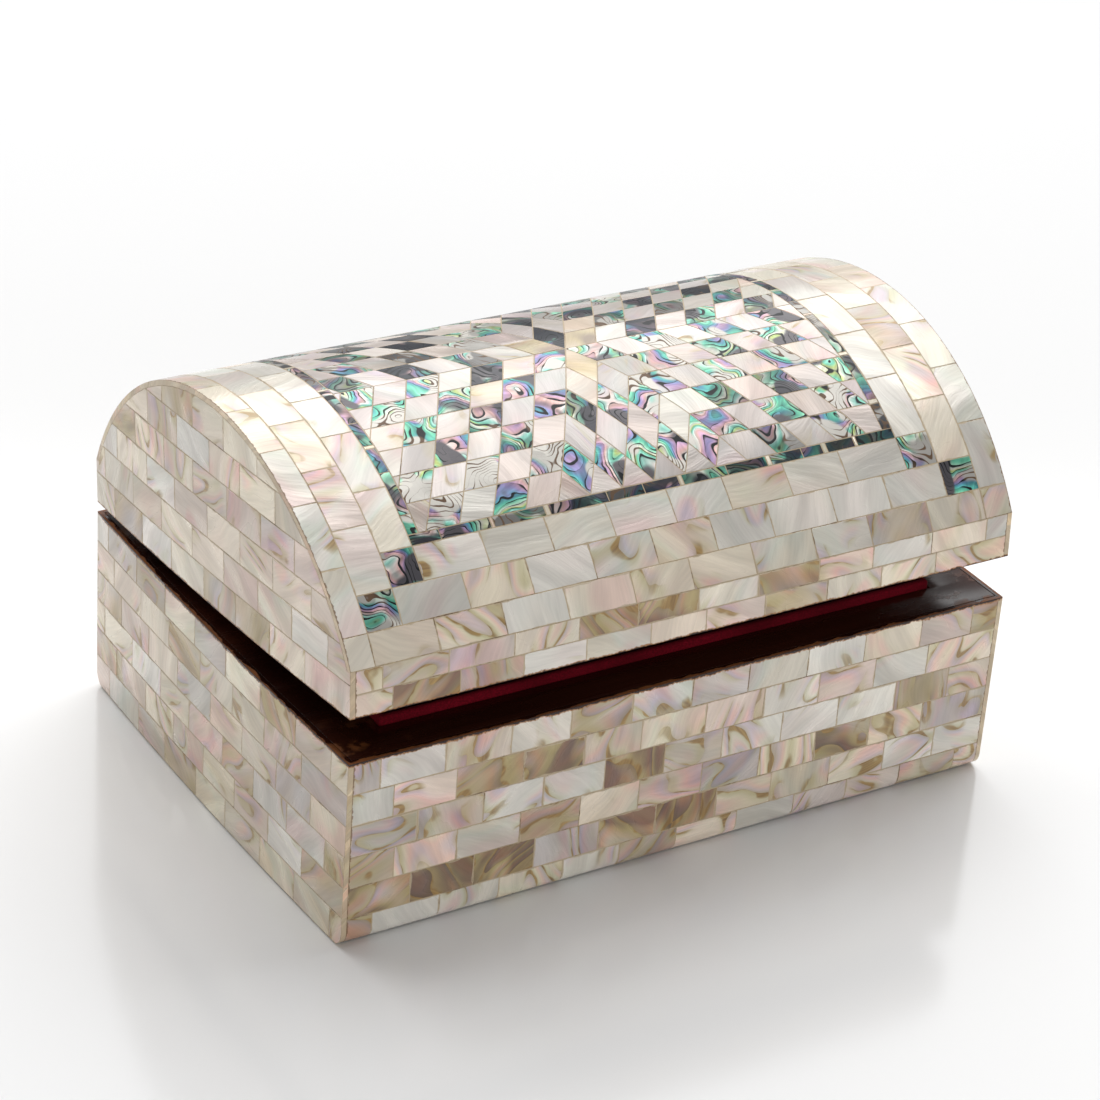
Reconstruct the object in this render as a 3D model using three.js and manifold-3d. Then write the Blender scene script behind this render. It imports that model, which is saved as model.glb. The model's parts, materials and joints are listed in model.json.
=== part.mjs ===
// A domed jewellery chest covered with mother-of-pearl and abalone mosaic, its lid standing ajar.
// Millimetres, +Z up, the long front facing -Y. The origin is the middle of the base's underside.
import * as THREE from "three";
import { mergeVertices } from "three/addons/utils/BufferGeometryUtils.js";
import Module from "manifold-3d";

// Driving dimensions: the whole box
const LENGTH = 220; // along X, over the shell at the four corners
const DEPTH = 158; // along Y, over the shell of the front and back
const BASE_HEIGHT = 59.5; // from the table to the rim
const LID_WALL = 14; // the short upright wall below the dome
const DOME_RISE = 48.5; // from the crease above that wall to the crown
const END_BOW = 1.5; // how far the two ends bulge at their middle
const FOOT_ROUND = 5; // rounding of the long bottom edges, front and back
const PLAY = 0.3; // room left between two pieces that are glued or laid together

// Driving dimensions: wood, shell and lining
const SHELL = 1.5; // thickness of the shell tiles with their bed
const SHELL_OFF_TABLE = 0.5; // height at which the shell starts above the table
const WOOD_LONG = 12; // front and back walls
const WOOD_END = 15; // end walls
const WOOD_FLOOR = 6;
const WOOD_CROWN = 8; // the bent top, at its crown
const LID_ROOM = 0.5; // how much wider the lid's opening is than the base's, on each side
const LINING = 2.2; // velvet on its card
const LIP = 2.5; // how far the base's lining stands above the rim
const LINING_INSET = 4; // how far the lid's lining stops short of its lower edge
const INNER_WALL = 8; // height of the upright part of the lid's hollow

// Driving dimensions: hinges and the lid's place
const SEAM = 3; // between the two rims when they are parallel
const AJAR_DEG = 3.8; // how far the lid stands open from there
const HINGE_X = 62; // each hinge's middle, either side of the centre
const LEAF_WIDTH = 24;
const LEAF_THICK = 1;
const LEAF_REACH = 10; // from the back face onto the rim
const KNUCKLE_R = 2.2;
const KNUCKLE_OFF = 2.5; // the hinge pin's centre behind the back face
const KNUCKLE_MID = 8; // the lid's knuckle, between the base's two
const PIN_R = 1;
const PIN_END = 0.8; // what the pin shows past the knuckles
const SCREW_SPACING = 13;
const SCREW_FROM_BACK = 5.5;
const SCREW_HEAD_R = 1.8;
const SCREW_SHANK_R = 0.9;
const SCREW_HEAD_DEEP = 0.9;
const SCREW_LENGTH = 8;

// Steps of the round shapes
const DOME_STEPS = 40;
const HOLLOW_STEPS = 24;
const BOW_STEPS = 12;
const FOOT_STEPS = 5;
const ROUND_STEPS = 20;

const HALF_X = LENGTH / 2;
const HALF_Y = DEPTH / 2;
const FAR = 400; // reaches past the box in any direction

const wasm = await Module();
wasm.setup();

// A three.js geometry as a solid that can be joined and cut.
function solidFrom(geometry) {
  geometry.deleteAttribute("normal");
  geometry.deleteAttribute("uv");
  const merged = mergeVertices(geometry, 1e-4);
  return new wasm.Manifold(
    new wasm.Mesh({
      numProp: 3,
      vertProperties: merged.attributes.position.array,
      triVerts: new Uint32Array(merged.index.array),
    }),
  );
}

// A joined or cut solid back as a three.js geometry with flat faces.
function geometryFrom(solid) {
  const mesh = solid.getMesh();
  const geometry = new THREE.BufferGeometry();
  geometry.setAttribute(
    "position",
    new THREE.BufferAttribute(new Float32Array(mesh.vertProperties), 3),
  );
  geometry.setIndex(new THREE.BufferAttribute(new Uint32Array(mesh.triVerts), 1));
  const flat = geometry.toNonIndexed();
  flat.computeVertexNormals();
  return flat;
}

// A plan outline of [x, y] points, standing from z0 to z1.
function standing(points, z0, z1) {
  const shape = new THREE.Shape(points.map(([x, y]) => new THREE.Vector2(x, y)));
  const geometry = new THREE.ExtrudeGeometry(shape, { depth: z1 - z0, bevelEnabled: false });
  geometry.translate(0, 0, z0);
  return solidFrom(geometry);
}

// An end outline of [y, z] points, lying along X from x0 to x1.
function lying(points, x0, x1) {
  const shape = new THREE.Shape(points.map(([y, z]) => new THREE.Vector2(y, z)));
  const geometry = new THREE.ExtrudeGeometry(shape, { depth: x1 - x0, bevelEnabled: false });
  const turn = new THREE.Matrix4().makeBasis(
    new THREE.Vector3(0, 1, 0),
    new THREE.Vector3(0, 0, 1),
    new THREE.Vector3(1, 0, 0),
  );
  geometry.applyMatrix4(turn);
  geometry.translate(x0, 0, 0);
  return solidFrom(geometry);
}

function boxSolid([x0, x1], [y0, y1], [z0, z1]) {
  const geometry = new THREE.BoxGeometry(x1 - x0, y1 - y0, z1 - z0);
  geometry.translate((x0 + x1) / 2, (y0 + y1) / 2, (z0 + z1) / 2);
  return solidFrom(geometry);
}

// A round bar along X.
function barAlongX(radius, x0, x1, y, z) {
  const geometry = new THREE.CylinderGeometry(radius, radius, x1 - x0, ROUND_STEPS);
  geometry.rotateZ(-Math.PI / 2);
  geometry.translate((x0 + x1) / 2, y, z);
  return solidFrom(geometry);
}

// Points on a circle's arc, ends included.
function arc(cx, cy, radius, from, to, steps) {
  return Array.from({ length: steps + 1 }, (_, i) => {
    const angle = from + ((to - from) * i) / steps;
    return [cx + radius * Math.cos(angle), cy + radius * Math.sin(angle)];
  });
}

// The arc that rises by rise over a span from -half to half: its radius, and its centre's depth below.
function archOf(half, rise) {
  const radius = (half * half + rise * rise) / (2 * rise);
  return { radius, drop: radius - rise };
}

// The plan with bowed ends, its ends drawn in by inset. The long sides run to halfY.
function bowedPlan(inset, halfY) {
  const right = Array.from({ length: BOW_STEPS + 1 }, (_, i) => {
    const along = -1 + (2 * i) / BOW_STEPS;
    return [HALF_X - inset + END_BOW * (1 - along * along), along * halfY];
  });
  const left = right.map(([x, y]) => [-x, -y]);
  return [...right, ...left];
}

const bowedBlock = (inset, z0, z1) => standing(bowedPlan(inset, HALF_Y), z0, z1);

// An outline without points that repeat the one before.
function withoutDoubles(points) {
  const apart = ([a, b], [c, d]) => Math.hypot(a - c, b - d) > 1e-6;
  return points.filter((point, i) => i === 0 || apart(point, points[i - 1]));
}

// The base's end outline: upright sides, with the long bottom edges rounded over.
function baseOutline(inset) {
  const radius = FOOT_ROUND - inset;
  const y = HALF_Y - FOOT_ROUND;
  const quarter = Math.PI / 2;
  return withoutDoubles([
    [-HALF_Y + inset, BASE_HEIGHT],
    ...arc(-y, FOOT_ROUND, radius, 2 * quarter, 3 * quarter, FOOT_STEPS),
    [-y, 0],
    [y, 0],
    ...arc(y, FOOT_ROUND, radius, 3 * quarter, 4 * quarter, FOOT_STEPS),
    [HALF_Y - inset, BASE_HEIGHT],
  ]);
}

// The lid with both rims parallel: its lower edge is at LID_FOOT, its crease at CREASE.
const LID_FOOT = BASE_HEIGHT + SEAM;
const CREASE = LID_FOOT + LID_WALL;
const DOME = archOf(HALF_Y, DOME_RISE);
const DOME_CENTRE = CREASE - DOME.drop;

// The dome's arc drawn in by inset, from front to back, cut off at height z.
function domeArc(inset, z) {
  const radius = DOME.radius - inset;
  const start = Math.asin((z - DOME_CENTRE) / radius);
  return arc(0, DOME_CENTRE, radius, Math.PI - start, start, DOME_STEPS);
}

// The lid's end outline, drawn in by inset.
function lidOutline(inset) {
  return withoutDoubles([
    [HALF_Y - inset, LID_FOOT],
    [-HALF_Y + inset, LID_FOOT],
    [-HALF_Y + inset, CREASE - PLAY],
    ...domeArc(inset, CREASE),
    [HALF_Y - inset, CREASE - PLAY],
  ]);
}

// The end outline of the lid's hollow, drawn in by inset, from height z up.
function hollowOutline(inset, z) {
  const half = HALF_Y - SHELL - PLAY - WOOD_LONG + LID_ROOM;
  const spring = LID_FOOT + INNER_WALL;
  const crown = CREASE + DOME_RISE - SHELL - PLAY - WOOD_CROWN;
  const arch = archOf(half, crown - spring);
  const centre = spring - arch.drop;
  const radius = arch.radius - inset;
  const start = Math.acos((half - inset) / radius);
  return [
    [half - inset, z],
    [-half + inset, z],
    ...arc(0, centre, radius, Math.PI - start, start, HOLLOW_STEPS),
  ];
}

// Hinge places
const PIN_Y = HALF_Y + KNUCKLE_OFF;
const PIN_Z = BASE_HEIGHT + SEAM / 2;
const SCREW_Y = HALF_Y - SCREW_FROM_BACK;
const HINGES = { left: -HINGE_X, right: HINGE_X };
const SCREW_SIDES = { outer: -0.5, inner: 0.5 };

// A countersunk screw pointing down from height z. For the hole it sits in, the same shape is grown
// by room all round and runs on upwards by mouth.
function screw(x, z, room = 0, mouth = 0) {
  const head = SCREW_HEAD_R + room;
  const shank = SCREW_SHANK_R + room;
  const profile = [
    [0, -SCREW_LENGTH - room],
    [shank, -SCREW_LENGTH - room],
    [shank, -SCREW_HEAD_DEEP],
    [head, 0],
  ];
  if (mouth > 0) profile.push([head, mouth]);
  profile.push([0, mouth]);
  const geometry = new THREE.LatheGeometry(
    profile.map(([r, h]) => new THREE.Vector2(r, h)),
    ROUND_STEPS,
  );
  geometry.rotateX(Math.PI / 2);
  geometry.translate(x, SCREW_Y, z);
  return solidFrom(geometry);
}

// A shape turned over about the height of the hinge pins, for the lid's side of a hinge.
function turnedOver(solid) {
  return solid.mirror([0, 0, 1]).translate([0, 0, 2 * PIN_Z]);
}

const LEAF_TOP = BASE_HEIGHT + PLAY + LEAF_THICK;
const screwPlaces = Object.entries(HINGES).flatMap(([side, x]) =>
  Object.entries(SCREW_SIDES).map(([place, share]) => ({
    name: side + "_hinge_" + place + "_screw",
    x: x + share * SCREW_SPACING,
  })),
);

// Cuts the screw holes of the base, or of the lid when over is true.
function withScrewHoles(solid, over) {
  return screwPlaces.reduce((cut, { x }) => {
    const hole = screw(x, LEAF_TOP, PLAY, LEAF_THICK);
    return cut.subtract(over ? turnedOver(hole) : hole);
  }, solid);
}

// One hinge leaf on the base's rim. owned lists the stretches of knuckle that belong to it.
function leaf(x, owned) {
  const plate = boxSolid(
    [x - LEAF_WIDTH / 2, x + LEAF_WIDTH / 2],
    [HALF_Y - LEAF_REACH, HALF_Y],
    [LEAF_TOP - LEAF_THICK, LEAF_TOP],
  );
  const bore = barAlongX(PIN_R + PLAY, x - LEAF_WIDTH, x + LEAF_WIDTH, PIN_Y, PIN_Z);
  const joined = owned.reduce((solid, [from, to]) => {
    const tab = boxSolid([from, to], [HALF_Y - 1, PIN_Y], [LEAF_TOP - LEAF_THICK, LEAF_TOP]);
    return solid.add(tab).add(barAlongX(KNUCKLE_R, from, to, PIN_Y, PIN_Z));
  }, plate);
  return withScrewHoles(joined.subtract(bore), false);
}

function baseLeaf(x) {
  const near = KNUCKLE_MID / 2 + PLAY;
  const far = LEAF_WIDTH / 2;
  return leaf(x, [
    [x - far, x - near],
    [x + near, x + far],
  ]);
}

const lidLeaf = (x) => turnedOver(leaf(x, [[x - KNUCKLE_MID / 2, x + KNUCKLE_MID / 2]]));

function hingePin(x) {
  const reach = LEAF_WIDTH / 2 + PIN_END;
  return barAlongX(PIN_R, x - reach, x + reach, PIN_Y, PIN_Z);
}

// Base: wood
const HOLLOW_X = HALF_X - SHELL - PLAY - WOOD_END;
const HOLLOW_Y = HALF_Y - SHELL - PLAY - WOOD_LONG;

function baseCarcass() {
  const inset = SHELL + PLAY;
  const outer = lying(baseOutline(inset), -FAR, FAR).intersect(bowedBlock(inset, -1, BASE_HEIGHT + 1));
  const hollow = boxSolid([-HOLLOW_X, HOLLOW_X], [-HOLLOW_Y, HOLLOW_Y], [WOOD_FLOOR, FAR]);
  return withScrewHoles(outer.subtract(hollow), false);
}

// Base: the shell covering. The end sheets run the full depth and the long ones fit between them.
function baseEndShell(side) {
  const outer = lying(baseOutline(0), -FAR, FAR).intersect(bowedBlock(0, SHELL_OFF_TABLE, FAR));
  const inner = standing(bowedPlan(SHELL, HALF_Y + 1), -1, FAR);
  const half = side < 0 ? [-FAR, 0] : [0, FAR];
  return outer.subtract(inner).intersect(boxSolid(half, [-FAR, FAR], [-FAR, FAR]));
}

function baseLongShell(side) {
  const reach = HALF_X - SHELL - PLAY;
  const outer = lying(baseOutline(0), -reach, reach);
  const inner = lying(baseOutline(SHELL), -FAR, FAR);
  const half = side < 0 ? [-FAR, -HALF_Y + FOOT_ROUND - 1] : [HALF_Y - FOOT_ROUND + 1, FAR];
  return outer.subtract(inner).intersect(boxSolid([-FAR, FAR], half, [SHELL_OFF_TABLE, FAR]));
}

// Base: the velvet lining, a tray whose edge stands above the rim.
function baseLining() {
  const halfX = HOLLOW_X - PLAY;
  const halfY = HOLLOW_Y - PLAY;
  const floor = WOOD_FLOOR + PLAY;
  const outer = boxSolid([-halfX, halfX], [-halfY, halfY], [floor, BASE_HEIGHT + LIP]);
  const inner = boxSolid(
    [-halfX + LINING, halfX - LINING],
    [-halfY + LINING, halfY - LINING],
    [floor + LINING, FAR],
  );
  return outer.subtract(inner);
}

// Lid: wood
function lidCarcass() {
  const inset = SHELL + PLAY;
  const outer = lying(lidOutline(inset), -FAR, FAR).intersect(bowedBlock(inset, -1, FAR));
  const reach = HOLLOW_X + LID_ROOM;
  const hollow = lying(hollowOutline(0, 0), -reach, reach);
  return withScrewHoles(outer.subtract(hollow), true);
}

// Lid: the shell covering. The dome's sheet laps over both ends, and the ends lap over the walls.
function domeShell() {
  const outer = lying(domeArc(0, CREASE), -FAR, FAR);
  const inner = lying(domeArc(SHELL, CREASE - 2), -FAR, FAR);
  return outer.subtract(inner).intersect(bowedBlock(0, CREASE, FAR));
}

function lidEndShell(side) {
  const shoulder = CREASE - PLAY;
  const inset = SHELL + PLAY;
  const upper = lying(domeArc(inset, shoulder), -FAR, FAR);
  const lower = boxSolid([-FAR, FAR], [-HALF_Y, HALF_Y], [LID_FOOT, shoulder]);
  const outer = lower.add(upper).intersect(bowedBlock(0, -1, FAR));
  const inner = standing(bowedPlan(SHELL, HALF_Y + 1), -1, FAR);
  const half = side < 0 ? [-FAR, 0] : [0, FAR];
  return outer.subtract(inner).intersect(boxSolid(half, [-FAR, FAR], [-FAR, FAR]));
}

function lidLongShell(side) {
  const reach = HALF_X - SHELL - PLAY;
  const span = side < 0 ? [-HALF_Y, -HALF_Y + SHELL] : [HALF_Y - SHELL, HALF_Y];
  return boxSolid([-reach, reach], span, [LID_FOOT, CREASE - PLAY]);
}

// Lid: the velvet lining, a shell that stops short of the lid's lower edge.
function lidLining() {
  const reach = HOLLOW_X + LID_ROOM - PLAY;
  const edge = LID_FOOT + LINING_INSET;
  const outer = lying(hollowOutline(PLAY, edge), -reach, reach);
  const inner = lying(hollowOutline(PLAY + LINING, 0), -reach + LINING, reach - LINING);
  return outer.subtract(inner);
}

// Finishes
const finish = (color, roughness, metalness) =>
  new THREE.MeshStandardMaterial({ color, roughness, metalness });
const LACQUERED_WOOD = finish(0x2c120a, 0.3, 0);
const MOTHER_OF_PEARL = finish(0xd9cfc0, 0.25, 0);
const PEARL_AND_ABALONE = finish(0xb9b8ac, 0.25, 0);
const RED_VELVET = finish(0x6e0416, 0.9, 0);
const BRASS = finish(0xb08d45, 0.35, 1);

function place(group, name, solid, material) {
  const mesh = new THREE.Mesh(geometryFrom(solid), material.clone());
  mesh.name = name;
  group.add(mesh);
}

const base = new THREE.Group();
place(base, "base_carcass", baseCarcass(), LACQUERED_WOOD);
place(base, "base_front_mosaic", baseLongShell(-1), MOTHER_OF_PEARL);
place(base, "base_back_mosaic", baseLongShell(1), MOTHER_OF_PEARL);
place(base, "base_left_mosaic", baseEndShell(-1), MOTHER_OF_PEARL);
place(base, "base_right_mosaic", baseEndShell(1), MOTHER_OF_PEARL);
place(base, "base_velvet_lining", baseLining(), RED_VELVET);

// The lid's pieces are drawn with the rims parallel, about the hinge pins' axis.
const lidDrawn = new THREE.Group();
lidDrawn.position.set(0, -PIN_Y, -PIN_Z);
place(lidDrawn, "lid_carcass", lidCarcass(), LACQUERED_WOOD);
place(lidDrawn, "lid_dome_mosaic", domeShell(), PEARL_AND_ABALONE);
place(lidDrawn, "lid_front_mosaic", lidLongShell(-1), MOTHER_OF_PEARL);
place(lidDrawn, "lid_back_mosaic", lidLongShell(1), MOTHER_OF_PEARL);
place(lidDrawn, "lid_left_mosaic", lidEndShell(-1), MOTHER_OF_PEARL);
place(lidDrawn, "lid_right_mosaic", lidEndShell(1), MOTHER_OF_PEARL);
place(lidDrawn, "lid_velvet_lining", lidLining(), RED_VELVET);

for (const [side, x] of Object.entries(HINGES)) {
  place(base, side + "_hinge_base_leaf", baseLeaf(x), BRASS);
  place(base, side + "_hinge_pin", hingePin(x), BRASS);
  place(lidDrawn, side + "_hinge_lid_leaf", lidLeaf(x), BRASS);
}
for (const { name, x } of screwPlaces) {
  place(base, name + "_base", screw(x, LEAF_TOP), BRASS);
  place(lidDrawn, name + "_lid", turnedOver(screw(x, LEAF_TOP)), BRASS);
}

const lid = new THREE.Group();
lid.position.set(0, PIN_Y, PIN_Z);
lid.rotation.x = THREE.MathUtils.degToRad(-AJAR_DEG);
lid.add(lidDrawn);

const chest = new THREE.Group();
chest.add(base, lid);

export default chest;
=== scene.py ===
import json
import math
import random

import bmesh
import bpy
from mathutils import Matrix, Vector


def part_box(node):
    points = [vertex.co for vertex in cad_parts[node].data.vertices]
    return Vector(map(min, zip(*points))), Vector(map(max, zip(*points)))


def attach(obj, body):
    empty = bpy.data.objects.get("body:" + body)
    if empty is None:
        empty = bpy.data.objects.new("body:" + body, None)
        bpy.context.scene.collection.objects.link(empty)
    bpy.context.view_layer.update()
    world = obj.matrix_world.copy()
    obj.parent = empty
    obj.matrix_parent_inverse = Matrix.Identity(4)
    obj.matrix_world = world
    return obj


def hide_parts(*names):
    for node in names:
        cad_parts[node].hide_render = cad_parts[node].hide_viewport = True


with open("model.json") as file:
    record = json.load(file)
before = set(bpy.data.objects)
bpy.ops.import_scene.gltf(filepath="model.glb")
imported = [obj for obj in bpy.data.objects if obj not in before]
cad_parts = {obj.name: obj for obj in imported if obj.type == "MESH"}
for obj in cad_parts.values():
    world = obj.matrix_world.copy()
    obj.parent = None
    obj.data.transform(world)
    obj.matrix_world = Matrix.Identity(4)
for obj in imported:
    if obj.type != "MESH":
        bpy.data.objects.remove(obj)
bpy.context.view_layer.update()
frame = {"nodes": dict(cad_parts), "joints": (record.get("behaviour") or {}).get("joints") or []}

bl_info = {
    "name": "Domed Shell Chest",
    "version": (1, 0, 0),
    "blender": (4, 5, 0),
    "location": "View3D > Sidebar > Chest",
    "description": "Dresses the frame of a domed jewellery chest in shell mosaic, lacquer, velvet and brass",
    "category": "Add Mesh",
}

MM = 0.001

# Places read from the frame, in metres
front_low, front_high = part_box("base_front_mosaic")
left_low, left_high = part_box("base_left_mosaic")
HINGE = Vector(frame["joints"][0]["pos_m"])
RIM = front_high.z
HALF_DEPTH = -front_low.y
SHELL_FOOT = front_low.z

# Sizes that the frame's boxes don't show, the same as the solids have
END_BOW = 1.5 * MM
FOOT_ROUND = 5 * MM
SEAM = 3 * MM
LID_WALL = 14 * MM
DOME_RISE = 48.5 * MM
SHELL = 1.5 * MM
AJAR = math.radians(3.8)

TOUCH = 0.02 * MM
HALF_LENGTH = -left_low.x - END_BOW
LONG_REACH = HALF_LENGTH - SHELL - TOUCH
LID_FOOT = RIM + SEAM
CREASE = LID_FOOT + LID_WALL
DOME_RADIUS = (HALF_DEPTH**2 + DOME_RISE**2) / (2 * DOME_RISE)
DOME_CENTRE = CREASE + DOME_RISE - DOME_RADIUS
HALF_ARC = DOME_RADIUS * math.asin(HALF_DEPTH / DOME_RADIUS)

# Material slots of a mosaic piece, in their order on the mesh
PEARL, JOINT, ABALONE, EDGE = range(4)

# The figure that marks the cut edge of a sheet
CUT_EDGE = -1.0

# Tones of mother-of-pearl, as places on its palette
COOL, IVORY, ROSE, LILAC, SAND, GOLD, BROWN = 0.0, 0.2, 0.4, 0.55, 0.7, 0.85, 1.0


class ChestMosaicSettings(bpy.types.PropertyGroup):
    """Sizes of the plain tile work"""

    tile_length: bpy.props.FloatProperty(
        name="Tile length", description="Length of a whole shell tile",
        default=20 * MM, min=5 * MM, subtype="DISTANCE", unit="LENGTH", precision=4,
    )
    tile_wander: bpy.props.FloatProperty(
        name="Tile wander", description="How far a joint may stray from its even place",
        default=0.9 * MM, min=0, subtype="DISTANCE", unit="LENGTH", precision=4,
    )
    joint_width: bpy.props.FloatProperty(
        name="Joint width", description="Width of the resin joint between two tiles",
        default=0.3 * MM, min=0.05 * MM, subtype="DISTANCE", unit="LENGTH", precision=5,
    )
    chamfer: bpy.props.FloatProperty(
        name="Chamfer", description="Width of the worn edge round each tile",
        default=0.07 * MM, min=0, subtype="DISTANCE", unit="LENGTH", precision=5,
    )
    proud: bpy.props.FloatProperty(
        name="Proud", description="How far the tiles stand above their joints",
        default=0.07 * MM, min=0, subtype="DISTANCE", unit="LENGTH", precision=5,
    )
    tilt: bpy.props.FloatProperty(
        name="Tilt", description="How far a tile's corner may lie out of the sheet",
        default=0.05 * MM, min=0, subtype="DISTANCE", unit="LENGTH", precision=5,
    )


class ChestStarSettings(bpy.types.PropertyGroup):
    """Sizes of the star panel on the dome"""

    rows: bpy.props.IntProperty(
        name="Rows", description="Rows of lozenges from the star's middle to its border",
        default=6, min=2,
    )
    shift: bpy.props.FloatProperty(
        name="Shift", description="How far the star's middle lies to the right of the chest's middle",
        default=-3.75 * MM, subtype="DISTANCE", unit="LENGTH", precision=4,
    )
    strip: bpy.props.FloatProperty(
        name="Strip width", description="Width of the abalone strip round the star",
        default=3.2 * MM, min=1 * MM, subtype="DISTANCE", unit="LENGTH", precision=4,
    )


class ChestFinishSettings(bpy.types.PropertyGroup):
    """Colours of the finishes"""

    joint: bpy.props.FloatVectorProperty(
        name="Joint resin", description="Colour of the joints between tiles",
        default=(0.52, 0.41, 0.27), size=3, min=0, max=1, subtype="COLOR",
    )
    lacquer: bpy.props.FloatVectorProperty(
        name="Lacquer", description="Colour of the lacquered wood",
        default=(0.017, 0.0042, 0.0024), size=3, min=0, max=1, subtype="COLOR",
    )
    worn_wood: bpy.props.FloatVectorProperty(
        name="Worn wood", description="Colour of the wood where the lacquer is worn away",
        default=(0.36, 0.125, 0.035), size=3, min=0, max=1, subtype="COLOR",
    )
    velvet: bpy.props.FloatVectorProperty(
        name="Velvet", description="Colour of the velvet lining",
        default=(0.105, 0.001, 0.006), size=3, min=0, max=1, subtype="COLOR",
    )
    brass: bpy.props.FloatVectorProperty(
        name="Brass", description="Colour of the hinges",
        default=(0.55, 0.38, 0.15), size=3, min=0, max=1, subtype="COLOR",
    )


class ChestStageSettings(bpy.types.PropertyGroup):
    """Camera, light and floor"""

    azimuth: bpy.props.FloatProperty(
        name="Azimuth", description="Camera's turn about the chest from its front",
        default=math.radians(-33.397), subtype="ANGLE", unit="ROTATION",
    )
    elevation: bpy.props.FloatProperty(
        name="Elevation", description="Camera's height angle",
        default=math.radians(28.169), subtype="ANGLE", unit="ROTATION",
    )
    roll: bpy.props.FloatProperty(
        name="Roll", description="Camera's turn about its own line of sight",
        default=math.radians(-4.335), subtype="ANGLE", unit="ROTATION",
    )
    distance: bpy.props.FloatProperty(
        name="Distance", description="From the camera to the point it looks at",
        default=1024 * MM, subtype="DISTANCE", unit="LENGTH",
    )
    target: bpy.props.FloatVectorProperty(
        name="Target", description="The point that the camera looks at",
        default=(6.38 * MM, 8.82 * MM, 55 * MM), size=3, subtype="XYZ", unit="LENGTH",
    )
    lens: bpy.props.FloatProperty(
        name="Lens", description="Focal length in millimetres on a 36 mm wide sensor",
        default=111.27, min=10,
    )
    floor: bpy.props.FloatVectorProperty(
        name="Floor", description="Colour of the floor",
        default=(0.86, 0.86, 0.86), size=3, min=0, max=1, subtype="COLOR",
    )


SETTINGS = {
    "chest_mosaic": ChestMosaicSettings,
    "chest_star": ChestStarSettings,
    "chest_finish": ChestFinishSettings,
    "chest_stage": ChestStageSettings,
}


# Modelling helpers

def deselect_all():
    if bpy.context.mode != "OBJECT":
        bpy.ops.object.mode_set(mode="OBJECT")
    bpy.ops.object.select_all(action="DESELECT")


def only(piece):
    """Leaves piece alone selected and active."""
    deselect_all()
    piece.select_set(True)
    bpy.context.view_layer.objects.active = piece


def edit(piece):
    only(piece)
    bpy.ops.object.mode_set(mode="EDIT")
    bpy.context.tool_settings.mesh_select_mode = (False, False, True)


def pick_faces(piece, wanted):
    """Selects the faces that wanted accepts, in edit mode, and says how many they are."""
    bpy.ops.mesh.select_all(action="DESELECT")
    mesh = bmesh.from_edit_mesh(piece.data)
    found = [face for face in mesh.faces if wanted(face)]
    for face in found:
        face.select_set(True)
    bmesh.update_edit_mesh(piece.data)
    return len(found)


def cut(piece, point, normal, wanted, **extra):
    """Cuts the wanted faces through a point of the sheet, square to normal."""
    if pick_faces(piece, wanted):
        bpy.ops.mesh.bisect(
            plane_co=(*point, 0), plane_no=(*normal, 0), threshold=1e-7, **extra
        )


def everything(face):
    return True


def outer_or_side(face):
    return face.normal.z > -0.5


def within(low_u, high_u, low_v, high_v):
    """Picks the outer and side faces whose middle lies in a rectangle of the sheet."""
    slack = 0.01 * MM

    def wanted(face):
        u, v, _ = face.calc_center_bounds()
        across = low_u - slack < u < high_u + slack
        return across and low_v - slack < v < high_v + slack and face.normal.z > -0.5

    return wanted


def start_slab(name, low_u, high_u, low_v, high_v):
    """A flat sheet lying in X and Y, its outer face at height 0."""
    deselect_all()
    middle = ((low_u + high_u) / 2, (low_v + high_v) / 2, -SHELL / 2)
    size = (high_u - low_u, high_v - low_v, SHELL)
    bpy.ops.mesh.primitive_cube_add(size=1, location=middle, scale=size)
    slab = bpy.context.active_object
    bpy.ops.object.transform_apply()
    slab.name = name
    slab.data.name = name
    edit(slab)
    return slab


def cut_rows(slab, places):
    for v in places:
        cut(slab, (0, v), (0, 1), outer_or_side)


def cut_joints(slab, places, low_v, high_v, low_u=-1, high_u=1):
    """Upright joints, at the given places along one row."""
    for u in places:
        cut(slab, (u, 0), (1, 0), within(low_u, high_u, low_v, high_v))


def running_joints(draw, low, high, first, length, wander):
    """Places of the joints along a row whose first piece has its own length."""
    places = []
    place = low + first
    while place < high - 0.3 * length:
        places.append(place + draw.uniform(-wander, wander))
        place += length
    return places


def even_joints(draw, low, high, length, wander):
    """Places of the joints along a row shared out evenly in pieces of about the given length."""
    count = max(1, round((high - low) / length))
    step = (high - low) / count
    return [low + i * step + draw.uniform(-wander, wander) for i in range(1, count)]


class Tile:
    """What one piece of shell looks like."""

    def __init__(self, kind, tone, figure, turn, plain=True):
        self.kind = kind
        self.tone = tone
        self.figure = figure
        self.turn = turn
        self.plain = plain


def pearl(draw, tone, figure, turn=None):
    angle = draw.uniform(0, math.pi) if turn is None else turn
    return Tile(PEARL, tone, figure, angle)


def abalone(draw, brightness):
    return Tile(ABALONE, brightness, 1.0, draw.uniform(0, 2 * math.pi))


def any_pearl(draw, tones):
    """A tile whose tone is drawn from a list of (tone, figure, how often)."""
    total = sum(often for _, _, often in tones)
    pick = draw.uniform(0, total)
    for tone, figure, often in tones:
        pick -= often
        if pick <= 0:
            break
    return pearl(draw, tone + draw.uniform(-0.07, 0.07), figure * draw.uniform(0.6, 1.0))


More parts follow.
